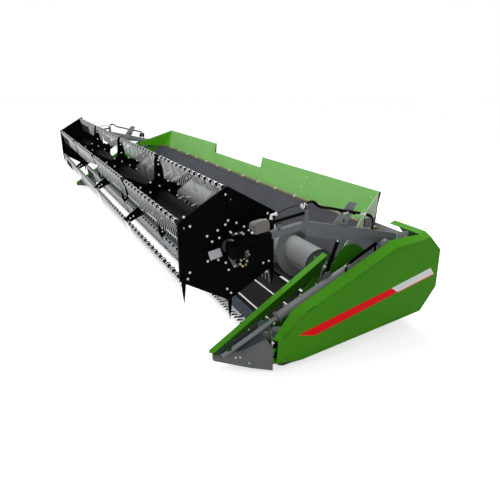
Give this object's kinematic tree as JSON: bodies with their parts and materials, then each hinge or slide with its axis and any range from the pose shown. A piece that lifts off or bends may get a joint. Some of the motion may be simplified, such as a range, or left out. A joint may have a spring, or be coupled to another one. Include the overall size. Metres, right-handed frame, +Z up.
{
  "type": "combine harvester grain header",
  "caption": "Wide belt-fed cutting table with a knife bar, tined hexagonal reel on lifting arms, cross auger, rear feeder opening, pointed crop dividers and side covers that swing open.",
  "frame": {"origin": "middle of the header's outline on the ground it stands on", "axes": "+Z up, +Y towards the combine harvester that carries it, the knife at -Y, +X the machine's left"},
  "size_m": [9.99, 2.807, 1.796],
  "materials": {
    "green_paint": "gloss",
    "gray_paint": "satin",
    "black_paint": "satin",
    "bare_steel": "brushed",
    "chrome_rod": "polished",
    "belt_rubber": "matte",
    "hose_rubber": "matte"
  },
  "bodies": {
    "root": {"knife_guards": "black_paint", "knife_beam": "black_paint", "feed_belts": "belt_rubber", "belt_rollers": "bare_steel", "table_ribs": "black_paint", "auger_trough": "gray_paint", "back_wall": "gray_paint", "rear_frame": "gray_paint", "coupling_frame": "gray_paint", "skid_shoes": "black_paint", "rear_panel_centre": "green_paint", "panel_brackets": "gray_paint", "hydraulic_pipes": "bare_steel", "arm_brackets": "gray_paint", "knife_drives": "gray_paint", "cover_struts": "black_paint", "lift_brackets": "gray_paint", "drive_shaft": "black_paint", "rear_panel_left": "green_paint", "rear_panel_right": "green_paint", "panel_wing_left": "green_paint", "panel_wing_right": "green_paint", "end_wall_left": "green_paint", "end_wall_right": "green_paint", "divider_rail_left": "green_paint", "divider_rail_right": "green_paint", "side_beam_left": "gray_paint", "side_beam_right": "gray_paint", "nose_fender_left": "green_paint", "nose_fender_right": "green_paint"},
    "reel_arms": {"reel_arm_left": "gray_paint", "reel_arm_right": "gray_paint", "fore_aft_cylinders": "black_paint", "hose_posts": "gray_paint", "arm_hoses": "hose_rubber"},
    "reel_carriage": {"reel_carriage_left": "black_paint", "reel_carriage_right": "black_paint", "fore_aft_rods": "gray_paint", "reel_motor": "gray_paint"},
    "reel": {"reel_tube": "black_paint", "reel_end_plates": "black_paint", "reel_stubs": "bare_steel", "reel_spiders": "black_paint"},
    "ring": {"eccentric_ring": "black_paint"},
    "auger": {"auger_tube": "gray_paint", "auger_flights": "gray_paint", "auger_fingers": "black_paint"},
    "knife_bar": {"knife": "bare_steel"},
    "cover_left": {"side_cover_left": "green_paint"},
    "cover_right": {"side_cover_right": "green_paint"},
    "lift_barrel": {"lift_barrels": "black_paint"},
    "lift_rod": {"lift_rods": "chrome_rod"},
    "bat_1": {"reel_bat_1": "black_paint"},
    "bat_2": {"reel_bat_2": "black_paint"},
    "bat_3": {"reel_bat_3": "black_paint"},
    "bat_4": {"reel_bat_4": "black_paint"},
    "bat_5": {"reel_bat_5": "black_paint"},
    "bat_6": {"reel_bat_6": "black_paint"}
  },
  "joints": [
    {"name": "arm_lift", "type": "hinge", "parent": "root", "child": "reel_arms", "pos_m": [0, 1.13848, 1.035], "axis": [-1, 0, 0], "range_deg": [0, 13]},
    {"name": "reel_fore_aft", "type": "slide", "parent": "reel_arms", "child": "reel_carriage", "axis": [0, 0.9906, 0.1367], "range_m": [-0.25, 0]},
    {"name": "reel_spin", "type": "hinge", "parent": "reel_carriage", "child": "reel", "pos_m": [0, -0.90552, 1.205], "axis": [1, 0, 0], "continuous": true},
    {"name": "ring_spin", "type": "hinge", "parent": "reel_carriage", "child": "ring", "pos_m": [0, -0.86052, 1.235], "axis": [1, 0, 0], "continuous": true},
    {"name": "auger_spin", "type": "hinge", "parent": "root", "child": "auger", "pos_m": [0, 0.45348, 0.63], "axis": [1, 0, 0], "continuous": true},
    {"name": "knife_stroke", "type": "slide", "parent": "root", "child": "knife_bar", "axis": [1, 0, 0], "range_m": [-0.038, 0.038]},
    {"name": "cover_left_swing", "type": "hinge", "parent": "root", "child": "cover_left", "pos_m": [4.95, -0.65052, 0.6], "axis": [0, 0, -1], "range_deg": [0, 75]},
    {"name": "cover_right_swing", "type": "hinge", "parent": "root", "child": "cover_right", "pos_m": [-4.95, -0.65052, 0.6], "axis": [0, 0, 1], "range_deg": [0, 75]},
    {"name": "lift_barrel_turn", "type": "hinge", "parent": "root", "child": "lift_barrel", "pos_m": [0, 0.11848, 0.8], "axis": [1, 0, 0], "range_deg": [-0.2, 2.2]},
    {"name": "lift_rod_slide", "type": "slide", "parent": "lift_barrel", "child": "lift_rod", "axis": [0, 0.3473, 0.9377], "range_m": [-0.005, 0.205]},
    {"name": "bat_1_turn", "type": "hinge", "parent": "reel", "child": "bat_1", "pos_m": [0, -0.90552, 1.75], "axis": [1, 0, 0], "continuous": true},
    {"name": "bat_2_turn", "type": "hinge", "parent": "reel", "child": "bat_2", "pos_m": [0, -1.3775, 1.4775], "axis": [1, 0, 0], "continuous": true},
    {"name": "bat_3_turn", "type": "hinge", "parent": "reel", "child": "bat_3", "pos_m": [0, -1.3775, 0.9325], "axis": [1, 0, 0], "continuous": true},
    {"name": "bat_4_turn", "type": "hinge", "parent": "reel", "child": "bat_4", "pos_m": [0, -0.90552, 0.66], "axis": [1, 0, 0], "continuous": true},
    {"name": "bat_5_turn", "type": "hinge", "parent": "reel", "child": "bat_5", "pos_m": [0, -0.43353, 0.9325], "axis": [1, 0, 0], "continuous": true},
    {"name": "bat_6_turn", "type": "hinge", "parent": "reel", "child": "bat_6", "pos_m": [0, -0.43353, 1.4775], "axis": [1, 0, 0], "continuous": true}
  ],
  "couplings": [
    {"joint": "ring_spin", "follows": "reel_spin", "ratio": 1},
    {"joint": "lift_barrel_turn", "follows": "arm_lift", "ratio": 0.15498},
    {"joint": "lift_rod_slide", "follows": "arm_lift", "m_per_rad": 0.88394},
    {"joint": "bat_1_turn", "follows": "reel_spin", "ratio": -1},
    {"joint": "bat_2_turn", "follows": "reel_spin", "ratio": -1},
    {"joint": "bat_3_turn", "follows": "reel_spin", "ratio": -1},
    {"joint": "bat_4_turn", "follows": "reel_spin", "ratio": -1},
    {"joint": "bat_5_turn", "follows": "reel_spin", "ratio": -1},
    {"joint": "bat_6_turn", "follows": "reel_spin", "ratio": -1}
  ]
}
